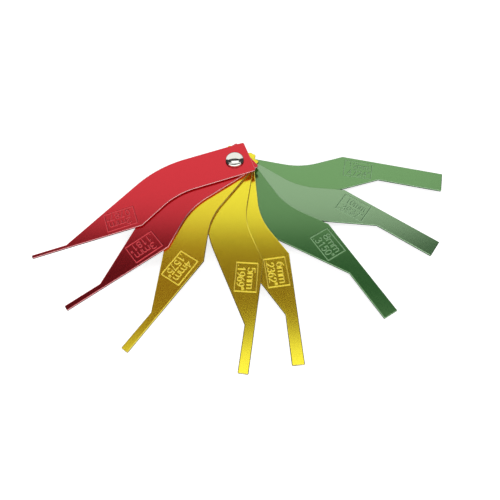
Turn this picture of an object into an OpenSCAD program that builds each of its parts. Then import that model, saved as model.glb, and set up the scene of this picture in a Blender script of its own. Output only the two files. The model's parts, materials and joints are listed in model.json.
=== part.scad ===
// Fan gauge: eight coated steel blades of one outline on a single rivet.
// The size of each blade is the width of its straight tip strip.
// Origin: on the rivet's axis, at the flat face of its set tail. +Z up through the stack. Millimetres.

/* [Blades] */
// Width of each tip strip, from the top blade down
gauge_widths = [2, 3, 4, 5, 6, 8, 10, 12]; // [1.5:0.5:18]
// Direction of each blade, from the top down, anticlockwise from +X
fan_angles = [196.4, 213.7, 231.8, 259.4, 272.1, 297.9, 320.8, 343.2]; // [0:0.1:360]
// Width of the handle end
handle_w = 21.5; // [16:0.5:28]
// Rivet's axis to the tip
reach = 116; // [95:1:160]
// Rivet's axis to the square end behind it
tail_len = 9; // [7:0.1:20]
// Sheet thickness
blade_t = 1.2; // [0.5:0.1:3]
// Corner radius of the square end
tail_corner_r = 1.2; // [0.4:0.1:4]
// Corner radius of the tip
tip_corner_r = 0.5; // [0.1:0.05:0.5]

/* [Crank] */
// Rivet's axis to the start of the bend
bend_start = 26.5; // [10:0.5:36]
// Radius of the bend, on the handle's centre line
bend_r = 48; // [30:1:70]
// Angle of the bend
bend_angle = 30; // [20:1:40]
// Rivet's axis to the outer edge of the tip strip, across the blade
strip_offset = 23.7; // [20:0.1:32]

/* [Rivet] */
// Diameter of the rivet's shank
shank_d = 5; // [3:0.1:7]
// Diameter of the domed head
head_d = 10.6; // [9:0.1:14]
// Height of the head's straight rim
head_rim_h = 1.4; // [0.4:0.1:3]
// Height of the dome above the rim
head_dome_h = 1.5; // [0.5:0.1:4]
// Height of the set tail under the stack
tail_head_h = 1.2; // [0.6:0.1:3]
// Diameter of the tail's flat face
tail_face_d = 6.4; // [5:0.1:9]
// Diameter of the tail where it meets the spring washer
tail_head_d = 8.4; // [7.4:0.1:12]

/* [Washers] */
// Diameter of the flat washer
flat_washer_d = 10; // [8:0.1:14]
// Thickness of the flat washer
flat_washer_t = 0.5; // [0.3:0.1:1.5]
// Diameter of the conical spring washer
spring_washer_d = 9; // [7.6:0.1:12]
// Sheet thickness of the spring washer
spring_washer_t = 0.3; // [0.15:0.05:0.6]
// Height of the spring washer as clamped
spring_washer_h = 0.5; // [0.3:0.05:1]
// Diameter of the slip washers between the blades
slip_washer_d = 9; // [7:0.1:12]
// Thickness of the slip washers
slip_washer_t = 0.1; // [0.05:0.05:0.5]

/* [Fits] */
// Radial running clearance of everything on the shank
running_fit = 0.05; // [0.02:0.01:0.1]

/* [Hidden] */
$fn = 96;
eps = 0.5;            // how far a cutter stands past the face it cuts
bend_steps = 15;      // flats along one edge of the bend
corner_steps = 6;     // flats round one corner
red = [0.80, 0.16, 0.20];
yellow = [0.88, 0.78, 0.16];
green = [0.34, 0.56, 0.34];
blade_colors = [red, red, yellow, yellow, yellow, green, green, green];
blade_count = len(gauge_widths);
bore_d = shank_d + 2 * running_fit;
spring_z = tail_head_h;
flat_washer_z = spring_z + spring_washer_h;
stack_z = flat_washer_z + flat_washer_t;
blade_pitch = blade_t + slip_washer_t;
stack_top_z = stack_z + blade_count * blade_t + (blade_count - 1) * slip_washer_t;
dome_r = (pow(head_d / 2, 2) + pow(head_dome_h, 2)) / (2 * head_dome_h);

// Underside of blade i, counted from the top of the stack
function blade_z(i) = stack_z + (blade_count - 1 - i) * blade_pitch;

// Points on an arc, in order from angle a0 to a1
function arc(center, r, a0, a1, steps) =
    [for (i = [0:steps]) center + r * [cos(a0 + (a1 - a0) * i / steps), sin(a0 + (a1 - a0) * i / steps)]];

// Where a slanted edge that starts at p crosses the height y
function slant_to(p, y) = [p[0] + (y - p[1]) / tan(bend_angle), y];

// One edge of the bend, side -1 for the outer edge and 1 for the inner edge
function bend_edge(side) =
    arc([bend_start, bend_r], bend_r - side * handle_w / 2, -90, -90 + bend_angle, bend_steps);

function reversed(points) = [for (i = [len(points) - 1:-1:0]) points[i]];

// Blade outline round the rivet's axis, pointing along +X: square end, bend, taper and straight tip strip
function blade_outline(strip_w) =
    let (
        outer = bend_edge(-1),
        inner = bend_edge(1),
        tail_x = -tail_len + tail_corner_r,
        tail_y = handle_w / 2 - tail_corner_r,
        tip_x = reach - tip_corner_r,
        strip_y = strip_offset - strip_w
    )
    concat(
        arc([tail_x, -tail_y], tail_corner_r, 180, 270, corner_steps),
        outer,
        [slant_to(outer[bend_steps], strip_y)],
        arc([tip_x, strip_y + tip_corner_r], tip_corner_r, -90, 0, corner_steps),
        arc([tip_x, strip_offset - tip_corner_r], tip_corner_r, 0, 90, corner_steps),
        [slant_to(inner[bend_steps], strip_offset)],
        reversed(inner),
        arc([tail_x, tail_y], tail_corner_r, 90, 180, corner_steps)
    );

module ring(outer_d, thickness) {
    difference() {
        cylinder(d = outer_d, h = thickness);
        translate([0, 0, -eps]) cylinder(d = bore_d, h = thickness + 2 * eps);
    }
}

module blade(i) {
    color(blade_colors[i])
        translate([0, 0, blade_z(i)])
            rotate(fan_angles[i])
                difference() {
                    linear_extrude(blade_t) polygon(blade_outline(gauge_widths[i]));
                    translate([0, 0, -eps]) cylinder(d = bore_d, h = blade_t + 2 * eps);
                }
}

module domed_head() {
    cylinder(d = head_d, h = head_rim_h);
    intersection() {
        translate([0, 0, head_rim_h]) cylinder(d = head_d, h = head_dome_h + eps);
        translate([0, 0, head_rim_h + head_dome_h - dome_r]) sphere(r = dome_r);
    }
}

module pivot_rivet() {
    color([0.86, 0.87, 0.85]) {
        cylinder(d1 = tail_face_d, d2 = tail_head_d, h = tail_head_h);
        cylinder(d = shank_d, h = stack_top_z + head_rim_h / 2);
        translate([0, 0, stack_top_z]) domed_head();
    }
}

module tail_washer() {
    color([0.62, 0.63, 0.64]) translate([0, 0, flat_washer_z]) ring(flat_washer_d, flat_washer_t);
}

// Cone with its narrow end on the tail and its rim on the flat washer
module spring_washer() {
    rise = spring_washer_h - spring_washer_t;
    color([0.45, 0.46, 0.48])
        translate([0, 0, spring_z])
            rotate_extrude()
                polygon([
                    [bore_d / 2, 0],
                    [spring_washer_d / 2, rise],
                    [spring_washer_d / 2, spring_washer_h],
                    [bore_d / 2, spring_washer_t]
                ]);
}

// Slip washer k lies under blade k - 1, counted from the top blade 0
module slip_washer(k) {
    color([0.72, 0.55, 0.30])
        translate([0, 0, blade_z(k) + blade_t])
            ring(slip_washer_d, slip_washer_t);
}

blade(0);  // blade_2mm
blade(1);  // blade_3mm
blade(2);  // blade_4mm
blade(3);  // blade_5mm
blade(4);  // blade_6mm
blade(5);  // blade_8mm
blade(6);  // blade_10mm
blade(7);  // blade_12mm
pivot_rivet();
tail_washer();
spring_washer();
for (k = [1:blade_count - 1])
    slip_washer(k);
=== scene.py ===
import json
import math

import bpy
import numpy as np
from mathutils import Matrix, Quaternion, Vector
from mathutils.geometry import delaunay_2d_cdt


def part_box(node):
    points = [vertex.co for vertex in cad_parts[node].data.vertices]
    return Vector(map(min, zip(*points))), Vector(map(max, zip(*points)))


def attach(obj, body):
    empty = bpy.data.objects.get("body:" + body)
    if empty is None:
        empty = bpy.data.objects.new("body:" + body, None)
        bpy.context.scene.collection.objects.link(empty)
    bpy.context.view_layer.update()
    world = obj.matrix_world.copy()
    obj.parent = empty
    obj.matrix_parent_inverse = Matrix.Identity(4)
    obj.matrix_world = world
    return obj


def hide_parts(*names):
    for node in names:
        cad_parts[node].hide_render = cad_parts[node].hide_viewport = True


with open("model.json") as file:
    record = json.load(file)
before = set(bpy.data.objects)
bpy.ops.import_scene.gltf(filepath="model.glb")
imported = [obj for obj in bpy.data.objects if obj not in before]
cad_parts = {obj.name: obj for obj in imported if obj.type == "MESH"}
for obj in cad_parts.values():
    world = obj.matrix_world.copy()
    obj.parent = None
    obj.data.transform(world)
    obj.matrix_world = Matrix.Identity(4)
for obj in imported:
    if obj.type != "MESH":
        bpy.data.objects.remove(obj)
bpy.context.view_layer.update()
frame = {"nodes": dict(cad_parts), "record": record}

MM = 0.001

# ---------------------------------------------------------------------------------------------
# Viewpoint: held over the near edge of the fan and looking down on it, slightly rolled.
# Its place is counted from the rivet's axis at the top face of the uppermost blade.
# ---------------------------------------------------------------------------------------------
eye_from_rivet = Vector((5.8, -161.3, 198.4)) * MM
look_down = math.radians(62.4)
roll = math.radians(-3.2)
top_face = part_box("blade_2mm")[1].z

ahead = Vector((0, math.cos(look_down), -math.sin(look_down)))
level_right = Vector((1, 0, 0))
level_up = level_right.cross(ahead)
right = math.cos(roll) * level_right + math.sin(roll) * level_up
up = math.cos(roll) * level_up - math.sin(roll) * level_right
camera_data = bpy.data.cameras.new("camera")
camera_data.sensor_width = 36.0
camera_data.lens = 32.0
camera_data.clip_start = 0.01
camera = bpy.data.objects.new("camera", camera_data)
turn = Matrix((right, up, -ahead)).transposed().to_4x4()
camera.matrix_world = Matrix.Translation(eye_from_rivet + Vector((0, 0, top_face))) @ turn
bpy.context.scene.collection.objects.link(camera)
bpy.context.scene.camera = camera

# ---------------------------------------------------------------------------------------------
# Studio: a white table and four soft panels. One stands behind the fan and one hangs over it, with a dark
# gap between them that the flat steel mirrors. A strip and a low panel on the near side light the dome
# and the edges, with a second dark gap between them that keeps the clefts between the blades deep.
# ---------------------------------------------------------------------------------------------
table_size = 3.0
table_white = (0.80, 0.80, 0.80)
table_glow = 0.75
table_roughness = 0.9
backdrop_tint = (0.93, 0.94, 0.96)
backdrop_glow = 1.0
# What the metal sees of the table and of the room in place of the white that the eye sees
table_in_mirror = (0.08, 0.08, 0.085)
room_in_mirror = 0.05
panels = {
    "panel_back": {
        "at": (-0.06, 0.50, 0.46), "aim": (-0.06, 0, 0.46), "size": (1.4, 0.94), "glow": 1.0, "tilt": 7,
    },
    "panel_over": {
        "at": (0.06, 0.03, 1.0), "aim": (0.06, 0.03, 0), "size": (0.96, 0.30), "glow": 1.40,
    },
    "panel_strip": {
        "at": (0, -0.26, 1.0), "aim": (0, -0.26, 0), "size": (2.8, 0.28), "glow": 1.1,
    },
    "panel_near": {
        "at": (0, -0.95, 0.55), "aim": (0, 0, 0), "size": (4.5, 0.67), "glow": 1.6,
    },
}


def soft_panel(name, at, aim, size, glow, tilt=0):
    """A rectangular light that faces aim. Tilt, in degrees, lifts the end towards +X of one that stands."""
    light = bpy.data.lights.new(name, "AREA")
    light.shape = "RECTANGLE"
    light.size, light.size_y = size
    light.energy = glow * math.pi * size[0] * size[1]
    lamp = bpy.data.objects.new(name, light)
    lamp.location = at
    facing = (Vector(aim) - Vector(at)).to_track_quat("-Z", "Y")
    lamp.rotation_euler = (facing @ Quaternion((0, 0, 1), -math.radians(tilt))).to_euler()
    lamp.visible_camera = False
    bpy.context.scene.collection.objects.link(lamp)


for name, panel in panels.items():
    soft_panel(name, **panel)

world = bpy.data.worlds.new("studio")
world.use_nodes = True
room = world.node_tree
background = room.nodes["Background"]
background.inputs["Color"].default_value = (*backdrop_tint, 1)
seen = room.nodes.new("ShaderNodeLightPath")
strength = room.nodes.new("ShaderNodeMapRange")
strength.inputs["To Min"].default_value = room_in_mirror
strength.inputs["To Max"].default_value = backdrop_glow
room.links.new(seen.outputs["Is Camera Ray"], strength.inputs["Value"])
room.links.new(strength.outputs["Result"], background.inputs["Strength"])
bpy.context.scene.world = world
bpy.context.scene.view_settings.view_transform = "Standard"

half = table_size / 2
table_mesh = bpy.data.meshes.new("table")
table_corners = [(-half, -half, 0), (half, -half, 0), (half, half, 0), (-half, half, 0)]
table_mesh.from_pydata(table_corners, [], [(0, 1, 2, 3)])
table = bpy.data.objects.new("table", table_mesh)
bpy.context.scene.collection.objects.link(table)


def new_material(name):
    material = bpy.data.materials.new(name)
    material.use_nodes = True
    return material, material.node_tree, material.node_tree.nodes["Principled BSDF"]


def add_node(tree, kind, **settings):
    node = tree.nodes.new(kind)
    for key, value in settings.items():
        setattr(node, key, value)
    return node


table_material, tree, shader = new_material("table_white")
seen = add_node(tree, "ShaderNodeLightPath")
paper = add_node(tree, "ShaderNodeMix", data_type="RGBA")
paper.inputs["A"].default_value = (*table_in_mirror, 1)
paper.inputs["B"].default_value = (*table_white, 1)
glow = add_node(tree, "ShaderNodeMath", operation="MULTIPLY")
glow.inputs[1].default_value = table_glow
tree.links.new(seen.outputs["Is Camera Ray"], paper.inputs["Factor"])
tree.links.new(paper.outputs["Result"], shader.inputs["Base Color"])
tree.links.new(seen.outputs["Is Camera Ray"], glow.inputs[0])
tree.links.new(glow.outputs["Value"], shader.inputs["Emission Strength"])
shader.inputs["Roughness"].default_value = table_roughness
shader.inputs["Emission Color"].default_value = (1, 1, 1, 1)
table_mesh.materials.append(table_material)

# ---------------------------------------------------------------------------------------------
# Blades: cranked strips pressed out of 1.2 mm steel sheet, tumbled so that every edge is round,
# stamped with a frame and their size, and dipped in a tinted lacquer over the bright metal.
# ---------------------------------------------------------------------------------------------
blade_colours = {
    2: "red", 3: "red", 4: "yellow", 5: "yellow", 6: "yellow", 8: "green", 10: "green", 12: "green",
}
edge_round = 0.45 * MM
bore_break = 0.15 * MM
round_steps = 6
# How narrow the paler crest of a rounded edge is, partly worn lacquer and partly a painted highlight; a
# higher power makes it narrower
crest_power = 3
# The stamp: its middle in the blade's own axes, its size, the flat margin kept round it and, blade by
# blade, how crooked it was struck, in degrees
stamp_middle = Vector((68.8, 16.1)) * MM
stamp_size = Vector((15.6, 10.8)) * MM
stamp_margin = 0.45 * MM
stamp_tilts = {2: 1.5, 3: 2.0, 4: 1.2, 5: 3.6, 6: 2.8, 8: 1.0, 10: 1.0, 12: 1.8}
stamp_cell = 0.14 * MM
stroke_half_width = 0.30 * MM
stroke_depth = 0.12 * MM
letter_height = 3.6 * MM
letter_gap = 0.75 * MM
# Widths of the letters that are wider or narrower than a figure
letter_shares = {"m": 1.5, ".": 0.25, "\"": 0.5}
# Where each line of the stamp starts, from its middle, and how far it runs
size_line = {"start": (-5.2 * MM, 0.6 * MM), "run": 11.2 * MM}
inch_line = {"start": (-6.6 * MM, -4.4 * MM), "run": 13.4 * MM}
mm_per_inch = 25.4
# Points closer than these lie in one plane, or are one point
flat_tolerance = 1e-6
weld_distance = 1e-9


def bow(x, y, rx, ry, start, stop, steps=12):
    angles = np.radians(np.linspace(start, stop, steps + 1))
    return [(x + rx * math.cos(a), y + ry * math.sin(a)) for a in angles]


# Single-stroke figures, each drawn in a box of this width and height
figure_box = (4, 6)
figures = {
    "0": [bow(2, 3, 2, 3, 0, 360)],
    "1": [[(0.9, 4.7), (2.3, 6), (2.3, 0)]],
    "2": [bow(2, 4.1, 1.9, 1.9, 170, -35) + [(0, 0), (4, 0)]],
    "3": [bow(1.9, 4.5, 1.7, 1.5, 150, -90) + bow(1.9, 1.55, 2.0, 1.55, 90, -150)],
    "4": [[(3.0, 0), (3.0, 6), (0, 1.8), (4, 1.8)]],
    "5": [[(3.7, 6), (0.7, 6), (0.4, 3.3)] + bow(1.9, 2.0, 2.0, 2.0, 130, -145)],
    "6": [bow(2, 1.9, 1.95, 1.9, 0, 360), bow(4.0, 1.9, 3.95, 4.1, 180, 105)],
    "7": [[(0, 6), (4, 6), (1.4, 0)]],
    "8": [bow(2, 4.5, 1.65, 1.5, 0, 360), bow(2, 1.55, 2.0, 1.5, 0, 360)],
    "9": [bow(2, 4.1, 1.95, 1.9, 0, 360), bow(0, 4.1, 3.95, 4.1, 0, -75)],
    "m": [[(0, 0), (0, 4)], bow(1, 3, 1, 1, 180, 0) + [(2, 0)], bow(3, 3, 1, 1, 180, 0) + [(4, 0)]],
    ".": [[(1.8, 0), (2.2, 0)]],
    "\"": [[(1, 6), (1, 4.4)], [(3.4, 6), (3.4, 4.4)]],
}


def stamp_strokes(size):
    """Every stroke of a blade's stamp: the frame, the size in mm and under it the size in inches."""
    x, y = stamp_size / 2
    strokes = [[(-x, -y), (x, -y), (x, y), (-x, y), (-x, -y)]]
    inches = f"{size / mm_per_inch:.4f}\""[1:]
    for text, line in ((f"{size}mm", size_line), (inches, inch_line)):
        x, y = line["start"]
        shares = [letter_shares.get(letter, 1) for letter in text]
        width = (line["run"] - letter_gap * (len(text) - 1)) / sum(shares)
        for letter, share in zip(text, shares):
            across, up = width * share / figure_box[0], letter_height / figure_box[1]
            for stroke in figures[letter]:
                strokes.append([(x + u * across, y + v * up) for u, v in stroke])
            x += width * share + letter_gap
    return strokes


def stamp_heights(size, us, vs):
    """Depth of the stamp on a grid of points, as a rounded groove along every stroke."""
    grid_u, grid_v = np.meshgrid(us, vs)
    nearest = np.full(grid_u.shape, stroke_half_width)
    for stroke in stamp_strokes(size):
        for (ax, ay), (bx, by) in zip(stroke, stroke[1:]):
            dx, dy = bx - ax, by - ay
            along = ((grid_u - ax) * dx + (grid_v - ay) * dy) / (dx * dx + dy * dy)
            along = np.clip(along, 0, 1)
            away = np.hypot(grid_u - ax - along * dx, grid_v - ay - along * dy)
            nearest = np.minimum(nearest, away)
    share = nearest / stroke_half_width
    return -stroke_depth * (1 - share * share * (3 - 2 * share))


def plan_loops(node):
    """The outline and the bore of a flat CAD node as loops of points in plan, the outline first."""
    mesh = frame["nodes"][node].data
    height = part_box(node)[1].z
    edges = set()
    for face in mesh.polygons:
        corners = [mesh.vertices[i].co for i in face.vertices]
        if all(abs(c.z - height) < flat_tolerance for c in corners):
            keys = [(round(c.x, 7), round(c.y, 7)) for c in corners]
            for a, b in zip(keys, keys[1:] + keys[:1]):
                if (b, a) in edges:
                    edges.remove((b, a))
                else:
                    edges.add((a, b))
    follows = dict(edges)
    loops = []
    while follows:
        start = next(iter(sorted(follows)))
        loop = [start]
        while follows[loop[-1]] != start:
            loop.append(follows.pop(loop[-1]))
        follows.pop(loop[-1])
        loops.append(np.array(loop))
    return sorted(loops, key=lambda loop: -np.ptp(loop[:, 0]))


def inset(loop, distance):
    """A loop moved sideways into the metal, with mitred corners. Metal lies on the left of its edges."""
    ahead_edge = np.roll(loop, -1, 0) - loop
    ahead_edge /= np.linalg.norm(ahead_edge, axis=1)[:, None]
    left = np.stack([-ahead_edge[:, 1], ahead_edge[:, 0]], 1)
    left_before = np.roll(left, 1, 0)
    mitre = (left + left_before) / (1 + (left * left_before).sum(1))[:, None]
    return loop + distance * mitre


def rim_profile(radius, thickness, steps):
    """(inset, height, tilt) of each ring round a sheet's rounded edge, from the lower face to the upper."""
    tilts = np.linspace(-math.pi / 2, math.pi / 2, 2 * steps)
    return [
        (radius * (1 - math.cos(t)), radius * math.sin(t) + (radius if t < 0 else thickness - radius), t)
        for t in tilts
    ]


def encloses(loop, point):
    """Whether a point in plan lies inside a loop, by counting the edges to its right."""
    a, b = loop, np.roll(loop, -1, 0)
    spans = (a[:, 1] > point[1]) != (b[:, 1] > point[1])
    a, b = a[spans], b[spans]
    crossing = a[:, 0] + (point[1] - a[:, 1]) * (b[:, 0] - a[:, 0]) / (b[:, 1] - a[:, 1])
    return (crossing > point[0]).sum() % 2 == 1


class Sheet:
    """Points, normals, faces and masks of one blade as they are gathered."""

    def __init__(self):
        self.points, self.normals, self.faces = [], [], []
        self.masks = {"edge": [], "stamp": []}

    def add(self, points, normals, edge=0, stamp=0):
        first = len(self.points)
        self.points += [tuple(p) for p in points]
        self.normals += [tuple(n) for n in normals]
        self.masks["edge"] += list(np.broadcast_to(edge, len(points)))
        self.masks["stamp"] += list(np.broadcast_to(stamp, len(points)))
        return first

    def add_rim(self, loop, low, thickness, radius):
        """Rings round one loop. Returns the first point of the lowest and of the highest ring."""
        outward = loop - inset(loop, 1)
        outward /= np.linalg.norm(outward, axis=1)[:, None]
        firsts = []
        for into, height, tilt in rim_profile(radius, thickness, round_steps):
            ring = inset(loop, into)
            points = np.column_stack([ring, np.full(len(ring), low + height)])
            normals = np.column_stack([outward * math.cos(tilt), np.full(len(ring), math.sin(tilt))])
            # The edge mask peaks on the upper crest, which the lacquer paints paler: partly worn lacquer,
            # partly a painted highlight
            firsts.append(self.add(points, normals, edge=max(0, math.sin(2 * tilt)) ** crest_power))
        count = len(loop)
        for a, b in zip(firsts, firsts[1:]):
            for i in range(count):
                j = (i + 1) % count
                self.faces.append((a + i, a + j, b + j, b + i))
        return [list(range(first, first + count)) for first in (firsts[0], firsts[-1])]

    def fill(self, rings, upward):
        """Triangles between rings of points that lie in one plane, each ring a list of point numbers."""
        indices = [i for ring in rings for i in ring]
        edges, at = [], 0
        for ring in rings:
            edges += [(at + i, at + (i + 1) % len(ring)) for i in range(len(ring))]
            at += len(ring)
        flat = [Vector(self.points[i][:2]) for i in indices]
        _, _, triangles, origins, _, _ = delaunay_2d_cdt(flat, edges, [], 1, weld_distance)
        holes = [np.array([self.points[i][:2] for i in ring]) for ring in rings[1:]]
        for triangle in triangles:
            corners = [indices[origins[i][0]] for i in triangle]
            middle = np.mean([self.points[i][:2] for i in corners], axis=0)
            if not any(encloses(hole, middle) for hole in holes):
                self.faces.append(tuple(corners if upward else reversed(corners)))

    def to_object(self, name, material):
        mesh = bpy.data.meshes.new(name)
        mesh.from_pydata(self.points, [], self.faces)
        mesh.validate()
        mesh.polygons.foreach_set("use_smooth", [True] * len(mesh.polygons))
        normals = np.array(self.normals, dtype=np.float32).ravel()
        mesh.attributes.new("custom_normal", "FLOAT_VECTOR", "POINT").data.foreach_set("vector", normals)
        for mask, values in self.masks.items():
            mesh.attributes.new(mask, "FLOAT", "POINT").data.foreach_set("value", values)
        mesh.materials.append(material)
        piece = bpy.data.objects.new(name, mesh)
        bpy.context.scene.collection.objects.link(piece)
        return piece


def turned(points, angle):
    c, s = math.cos(angle), math.sin(angle)
    return np.asarray(points) @ np.array([[c, s], [-s, c]])


def blade_heading(size):
    """The direction in plan in which a blade points, anticlockwise from +X."""
    axis = next(m["axis"] for m in frame["record"]["mounts"] if m["name"] == f"gauge_tip_{size}mm")
    return math.atan2(axis[1], axis[0])


def blade_piece(size, material):
    """One blade with round edges and a stamped size, from the outline of its CAD node."""
    node = f"blade_{size}mm"
    outline, bore = plan_loops(node)
    low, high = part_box(node)[0].z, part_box(node)[1].z
    angle = blade_heading(size)
    sheet = Sheet()
    lower_rim, upper_rim = sheet.add_rim(outline, low, high - low, edge_round)
    lower_bore, upper_bore = sheet.add_rim(bore, low, high - low, bore_break)
    sheet.fill([lower_rim, lower_bore], upward=False)

    reaches = [side / 2 + stamp_margin for side in stamp_size]
    us, vs = (np.linspace(-reach, reach, round(2 * reach / stamp_cell)) for reach in reaches)
    heights = stamp_heights(size, us, vs)
    slope_v, slope_u = np.gradient(heights, vs, us)
    grid = np.column_stack([a.ravel() for a in np.meshgrid(us, vs)])
    tilt = math.radians(stamp_tilts[size])
    points = np.column_stack([turned(turned(grid, tilt) + stamp_middle, angle), high + heights.ravel()])
    slopes = turned(np.column_stack([-slope_u.ravel(), -slope_v.ravel()]), angle + tilt)
    normals = np.column_stack([slopes, np.ones(len(grid))])
    normals /= np.linalg.norm(normals, axis=1)[:, None]
    first = sheet.add(points, normals, stamp=-heights.ravel() / stroke_depth)
    columns, rows = len(us), len(vs)
    for row in range(rows - 1):
        for column in range(columns - 1):
            corner = first + row * columns + column
            sheet.faces.append((corner, corner + 1, corner + columns + 1, corner + columns))

    border = [first + c for c in range(columns)]
    border += [first + r * columns + columns - 1 for r in range(1, rows)]
    border += [first + (rows - 1) * columns + c for c in range(columns - 2, -1, -1)]
    border += [first + r * columns for r in range(rows - 2, 0, -1)]
    sheet.fill([upper_rim, upper_bore, border], upward=True)
    return sheet.to_object(f"{node}_sheet", material)


# Along the sheet the grain runs this much slower than across it
grain_stretch = 0.03


def grain_group():
    """Fine long grain of rolled sheet under the lacquer, and the soft waviness of a dipped coat."""
    group = bpy.data.node_groups.new("sheet_grain", "ShaderNodeTree")
    for name, default in (("Direction", 0.0), ("Grain Per Metre", 3000.0), ("Wave Per Metre", 350.0)):
        socket = group.interface.new_socket(name=name, in_out="INPUT", socket_type="NodeSocketFloat")
        socket.default_value = default
    for name in ("Grain", "Wave"):
        group.interface.new_socket(name=name, in_out="OUTPUT", socket_type="NodeSocketFloat")
    inputs = add_node(group, "NodeGroupInput")
    outputs = add_node(group, "NodeGroupOutput")
    place = add_node(group, "ShaderNodeTexCoord")
    turn_along = add_node(group, "ShaderNodeVectorRotate", rotation_type="Z_AXIS")
    stretch = add_node(group, "ShaderNodeVectorMath", operation="MULTIPLY")
    stretch.inputs[1].default_value = (grain_stretch, 1, 1)
    grain = add_node(group, "ShaderNodeTexNoise")
    grain.inputs["Detail"].default_value = 3
    wave = add_node(group, "ShaderNodeTexNoise")
    wave.inputs["Detail"].default_value = 1
    link = group.links.new
    link(place.outputs["Object"], turn_along.inputs["Vector"])
    link(inputs.outputs["Direction"], turn_along.inputs["Angle"])
    link(turn_along.outputs["Vector"], stretch.inputs[0])
    link(stretch.outputs["Vector"], grain.inputs["Vector"])
    link(inputs.outputs["Grain Per Metre"], grain.inputs["Scale"])
    link(place.outputs["Object"], wave.inputs["Vector"])
    link(inputs.outputs["Wave Per Metre"], wave.inputs["Scale"])
    link(grain.outputs["Fac"], outputs.inputs["Grain"])
    link(wave.outputs["Fac"], outputs.inputs["Wave"])
    return group


sheet_grain = grain_group()

# Lacquer tones: the dye in depth, the metal's glint through it, where the coat is thin in a stamp,
# and the paler crest of an edge, which is partly worn lacquer and partly a painted highlight
lacquers = {
    "red": {
        "deep": (0.09, 0.004, 0.005), "glint": (0.79, 0.038, 0.053),
        "thin": (0.80, 0.13, 0.15), "crest_wear_and_highlight": (1.0, 0.78, 0.78),
    },
    "yellow": {
        "deep": (0.80, 0.21, 0.004), "glint": (0.95, 0.91, 0.045),
        "thin": (1.0, 0.85, 0.20), "crest_wear_and_highlight": (1.0, 0.90, 0.42),
    },
    "green": {
        "deep": (0.012, 0.095, 0.018), "glint": (0.20, 0.37, 0.15),
        "thin": (0.36, 0.56, 0.34), "crest_wear_and_highlight": (0.42, 0.62, 0.40),
    },
}
metal_glint_ior = 20
lacquer_roughness = (0.17, 0.23)
# How far the crest is drawn to the thin tone and to bare metal: partly wear, partly a painted highlight
crest_bareness_and_highlight = 0.7
stamp_dullness = 0.4
wave_strength = 0.10
wave_depth = 0.02 * MM
clear_coat = 0.25
clear_coat_roughness = 0.15
# How much paler or, below zero, darker the glint of each blade is painted: painted light and shade standing
# for the different light each blade catches, on one lacquer
painted_light_by_blade = {2: -0.03, 3: -0.08, 4: -0.1, 5: 0.0, 6: 0.0, 8: -0.25, 10: 0.14, 12: -0.02}


def shaded(tone, share):
    """A tone drawn towards white by a positive share, or darkened by a negative one."""
    return tuple(c + (1 - c) * share if share > 0 else c * (1 + share) for c in tone)


def lacquer_material(colour, size):
    """A tinted lacquer over bright steel: thin in the stamp, and paler along the crest of the edges, partly
    worn lacquer and partly a painted highlight.
    """
    tones = lacquers[colour]
    material, tree, shader = new_material(f"{colour}_lacquer_{size}mm")
    grain = add_node(tree, "ShaderNodeGroup", node_tree=sheet_grain)
    grain.inputs["Direction"].default_value = -blade_heading(size)
    edge = add_node(tree, "ShaderNodeAttribute", attribute_name="edge")
    stamp = add_node(tree, "ShaderNodeAttribute", attribute_name="stamp")
    thin_coat_and_highlight = add_node(tree, "ShaderNodeMath", operation="MULTIPLY_ADD", use_clamp=True)
    thin_coat_and_highlight.inputs[1].default_value = crest_bareness_and_highlight
    tone = add_node(tree, "ShaderNodeMix", data_type="RGBA")
    tone.inputs["A"].default_value = (*tones["deep"], 1)
    tone.inputs["B"].default_value = (*tones["thin"], 1)
    crest_wear_and_highlight = add_node(tree, "ShaderNodeMix", data_type="RGBA")
    crest_wear_and_highlight.inputs["B"].default_value = (*tones["crest_wear_and_highlight"], 1)
    polish = add_node(tree, "ShaderNodeMapRange")
    polish.inputs["To Min"].default_value, polish.inputs["To Max"].default_value = lacquer_roughness
    rough = add_node(tree, "ShaderNodeMath", operation="MULTIPLY_ADD")
    rough.inputs[1].default_value = stamp_dullness
    bump = add_node(tree, "ShaderNodeBump")
    bump.inputs["Strength"].default_value = wave_strength
    bump.inputs["Distance"].default_value = wave_depth
    link = tree.links.new
    link(edge.outputs["Fac"], thin_coat_and_highlight.inputs[0])
    link(stamp.outputs["Fac"], thin_coat_and_highlight.inputs[2])
    link(thin_coat_and_highlight.outputs["Value"], tone.inputs["Factor"])
    link(edge.outputs["Fac"], crest_wear_and_highlight.inputs["Factor"])
    link(tone.outputs["Result"], crest_wear_and_highlight.inputs["A"])
    link(crest_wear_and_highlight.outputs["Result"], shader.inputs["Base Color"])
    link(thin_coat_and_highlight.outputs["Value"], shader.inputs["Metallic"])
    link(grain.outputs["Grain"], polish.inputs["Value"])
    link(stamp.outputs["Fac"], rough.inputs[0])
    link(polish.outputs["Result"], rough.inputs[2])
    link(rough.outputs["Value"], shader.inputs["Roughness"])
    link(grain.outputs["Wave"], bump.inputs["Height"])
    link(bump.outputs["Normal"], shader.inputs["Normal"])
    shader.inputs["IOR"].default_value = metal_glint_ior
    # The glint of each blade is lightened or darkened here as painted light and shade
    shader.inputs["Specular Tint"].default_value = (*shaded(tones["glint"], painted_light_by_blade[size]), 1)
    shader.inputs["Coat Weight"].default_value = clear_coat
    shader.inputs["Coat Roughness"].default_value = clear_coat_roughness
    return material


for size, colour in blade_colours.items():
    piece = blade_piece(size, lacquer_material(colour, size))
    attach(piece, f"blade_{size}")
    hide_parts(f"blade_{size}mm")

# ---------------------------------------------------------------------------------------------
# Rivet: nickel-plated steel with a cold-headed button dome over the top blade. The far end of its
# shank is rolled flat over the spring washer, which leaves rings and a centre mark on the tail.
# ---------------------------------------------------------------------------------------------
lathe_steps = 96
foot_round = 0.3 * MM
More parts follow.
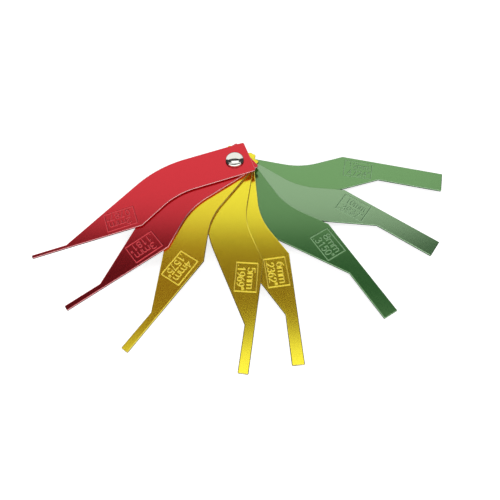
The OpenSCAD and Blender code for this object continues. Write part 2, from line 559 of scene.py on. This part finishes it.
# 2 makes the dome an ellipse, and more makes it boxier
dome_fullness = 2.05
dome_steps = 18
tail_face_r = 3.2 * MM
tail_r = 4.2 * MM
tail_h = 1.2 * MM
tail_round = 0.2 * MM
centre_mark = {"radius": 0.7 * MM, "depth": 0.35 * MM}
shank_r = 2.5 * MM
ring_strength = 0.5


def lathe(name, profile, material, closed=False):
    """A turned piece about the rivet's axis. Its profile runs outwards along the bottom, up and back."""
    points, faces, rings = [], [], []
    for radius, height in profile:
        around = lathe_steps if radius > 0 else 1
        rings.append([len(points) + i for i in range(around)])
        angles = [2 * math.pi * i / around for i in range(around)]
        points += [(radius * math.cos(a), radius * math.sin(a), height) for a in angles]
    for below, above in zip(rings, rings[1:] + (rings[:1] if closed else [])):
        for i in range(lathe_steps):
            j = (i + 1) % lathe_steps
            corners = [below[i % len(below)], below[j % len(below)]]
            corners += [above[j % len(above)], above[i % len(above)]]
            faces.append(list(dict.fromkeys(corners)))
    mesh = bpy.data.meshes.new(name)
    mesh.from_pydata(points, [], faces)
    mesh.polygons.foreach_set("use_smooth", [True] * len(mesh.polygons))
    mesh.materials.append(material)
    piece = bpy.data.objects.new(name, mesh)
    bpy.context.scene.collection.objects.link(piece)
    piece.modifiers.new("flat_faces", "WEIGHTED_NORMAL")
    return piece


def fillet(center_r, center_z, radius, start, stop, steps=5):
    """Points of a profile along a round corner, from one angle to another in degrees."""
    return [(center_r + radius * math.cos(a), center_z + radius * math.sin(a))
            for a in np.radians(np.linspace(start, stop, steps + 1))]


def lathe_marks_group():
    """Cloudy plating and the fine rings that a tool leaves round the axis."""
    group = bpy.data.node_groups.new("lathe_marks", "ShaderNodeTree")
    for name, default in (("Clouds Per Metre", 600.0), ("Rings Per Metre", 6000.0)):
        socket = group.interface.new_socket(name=name, in_out="INPUT", socket_type="NodeSocketFloat")
        socket.default_value = default
    for name in ("Clouds", "Rings"):
        group.interface.new_socket(name=name, in_out="OUTPUT", socket_type="NodeSocketFloat")
    inputs = add_node(group, "NodeGroupInput")
    outputs = add_node(group, "NodeGroupOutput")
    place = add_node(group, "ShaderNodeTexCoord")
    in_plan = add_node(group, "ShaderNodeVectorMath", operation="MULTIPLY")
    in_plan.inputs[1].default_value = (1, 1, 0)
    radius = add_node(group, "ShaderNodeVectorMath", operation="LENGTH")
    rings = add_node(group, "ShaderNodeTexNoise", noise_dimensions="1D")
    clouds = add_node(group, "ShaderNodeTexNoise")
    clouds.inputs["Detail"].default_value = 4
    link = group.links.new
    link(place.outputs["Object"], in_plan.inputs[0])
    link(in_plan.outputs["Vector"], radius.inputs[0])
    link(radius.outputs["Value"], rings.inputs["W"])
    link(inputs.outputs["Rings Per Metre"], rings.inputs["Scale"])
    link(place.outputs["Object"], clouds.inputs["Vector"])
    link(inputs.outputs["Clouds Per Metre"], clouds.inputs["Scale"])
    link(clouds.outputs["Fac"], outputs.inputs["Clouds"])
    link(rings.outputs["Fac"], outputs.inputs["Rings"])
    return group


lathe_marks = lathe_marks_group()


def plated_metal(name, light, dark, smooth, dull, ring_depth):
    """Bare or plated metal, from its two tones, its two roughnesses and the depth of its tool rings."""
    material, tree, shader = new_material(name)
    marks = add_node(tree, "ShaderNodeGroup", node_tree=lathe_marks)
    tone = add_node(tree, "ShaderNodeMix", data_type="RGBA")
    tone.inputs["A"].default_value = (*light, 1)
    tone.inputs["B"].default_value = (*dark, 1)
    rough = add_node(tree, "ShaderNodeMapRange")
    rough.inputs["To Min"].default_value = smooth
    rough.inputs["To Max"].default_value = dull
    bump = add_node(tree, "ShaderNodeBump")
    bump.inputs["Strength"].default_value = ring_strength
    bump.inputs["Distance"].default_value = ring_depth
    link = tree.links.new
    link(marks.outputs["Clouds"], tone.inputs["Factor"])
    link(tone.outputs["Result"], shader.inputs["Base Color"])
    link(marks.outputs["Clouds"], rough.inputs["Value"])
    link(rough.outputs["Result"], shader.inputs["Roughness"])
    link(marks.outputs["Rings"], bump.inputs["Height"])
    link(bump.outputs["Normal"], shader.inputs["Normal"])
    shader.inputs["Metallic"].default_value = 1
    return material


head_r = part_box("pivot_rivet")[1].x
head_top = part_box("pivot_rivet")[1].z
foot_top = top_face + foot_round
dome_rise = head_top - foot_top
dome_power = 2 / dome_fullness
dome = [
    (head_r * math.cos(a) ** dome_power, foot_top + dome_rise * math.sin(a) ** dome_power)
    for a in np.linspace(0, math.pi / 2, dome_steps)[1:-1]
]
rivet_profile = (
    [(0, centre_mark["depth"]), (centre_mark["radius"], 0)]
    + fillet(tail_face_r - tail_round, tail_round, tail_round, -90, -20)
    + [(tail_r, tail_h - tail_round / 2), (tail_r - tail_round / 2, tail_h), (shank_r, tail_h)]
    + [(shank_r, top_face)]
    + fillet(head_r - foot_round, foot_top, foot_round, -90, 0)
    + dome
    + [(0, head_top)]
)
nickel = plated_metal(
    "nickel_plate", light=(0.84, 0.84, 0.78), dark=(0.76, 0.76, 0.69), smooth=0.07, dull=0.16,
    ring_depth=0.001 * MM,
)
rivet = lathe("rivet_turned", rivet_profile, nickel)
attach(rivet, "pivot")
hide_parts("pivot_rivet")

# ---------------------------------------------------------------------------------------------
# Flat washer: zinc-plated steel blanked from strip, so one rim is drawn round and the other is
# crisp. It lies on the lowest blade and spreads the load of the spring washer.
# ---------------------------------------------------------------------------------------------
running_fit = 0.05 * MM
washer_bore = shank_r + running_fit
drawn_round = 0.2 * MM
crisp_break = 0.05 * MM
washer_low, washer_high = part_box("tail_washer")
washer_profile = (
    fillet(washer_high.x - drawn_round, washer_low.z + drawn_round, drawn_round, -90, 0)
    + [(washer_high.x, washer_high.z - crisp_break), (washer_high.x - crisp_break, washer_high.z)]
    + [(washer_bore + crisp_break, washer_high.z), (washer_bore, washer_high.z - crisp_break)]
    + fillet(washer_bore + crisp_break, washer_low.z + crisp_break, crisp_break, 180, 270, 2)
)
zinc = plated_metal(
    "zinc_plate", light=(0.66, 0.68, 0.71), dark=(0.50, 0.52, 0.55), smooth=0.22, dull=0.42,
    ring_depth=0.002 * MM,
)
washer = lathe("flat_washer_blanked", washer_profile, zinc, closed=True)
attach(washer, "pivot")
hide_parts("tail_washer")

# ---------------------------------------------------------------------------------------------
# Spring washer: a thin cone of tempered spring steel, tumbled after forming. The rivet's tail
# presses it half flat, and its push gives the blades the friction that holds them where they are set.
# ---------------------------------------------------------------------------------------------
spring_t = 0.3 * MM
spring_break = 0.06 * MM
spring_low, spring_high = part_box("spring_washer")
cone_rise = spring_high.z - spring_low.z - spring_t
spring_profile = [
    (washer_bore + spring_break, spring_low.z),
    (spring_high.x - spring_break, spring_low.z + cone_rise),
    (spring_high.x, spring_low.z + cone_rise + spring_break),
    (spring_high.x, spring_high.z - spring_break),
    (spring_high.x - spring_break, spring_high.z),
    (washer_bore + spring_break, spring_high.z - cone_rise),
    (washer_bore, spring_high.z - cone_rise - spring_break),
    (washer_bore, spring_low.z + spring_break),
]
tempered = plated_metal(
    "tempered_spring_steel", light=(0.42, 0.38, 0.34), dark=(0.26, 0.25, 0.27), smooth=0.25, dull=0.45,
    ring_depth=0.002 * MM,
)
spring = lathe("spring_washer_coned", spring_profile, tempered, closed=True)
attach(spring, "pivot")
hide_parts("spring_washer")

# ---------------------------------------------------------------------------------------------
# Slip washers: 0.1 mm rings punched from half-hard brass shim, one between each pair of blades. They
# keep the lacquer of one blade from rubbing on the next. Their CAD rings are used as they are.
# ---------------------------------------------------------------------------------------------
shim_brass = plated_metal(
    "shim_brass", light=(0.83, 0.62, 0.28), dark=(0.70, 0.48, 0.20), smooth=0.20, dull=0.38,
    ring_depth=0.001 * MM,
)
for node in sorted(frame["nodes"]):
    if node.startswith("slip_washer"):
        for slot in frame["nodes"][node].material_slots:
            slot.material = shim_brass
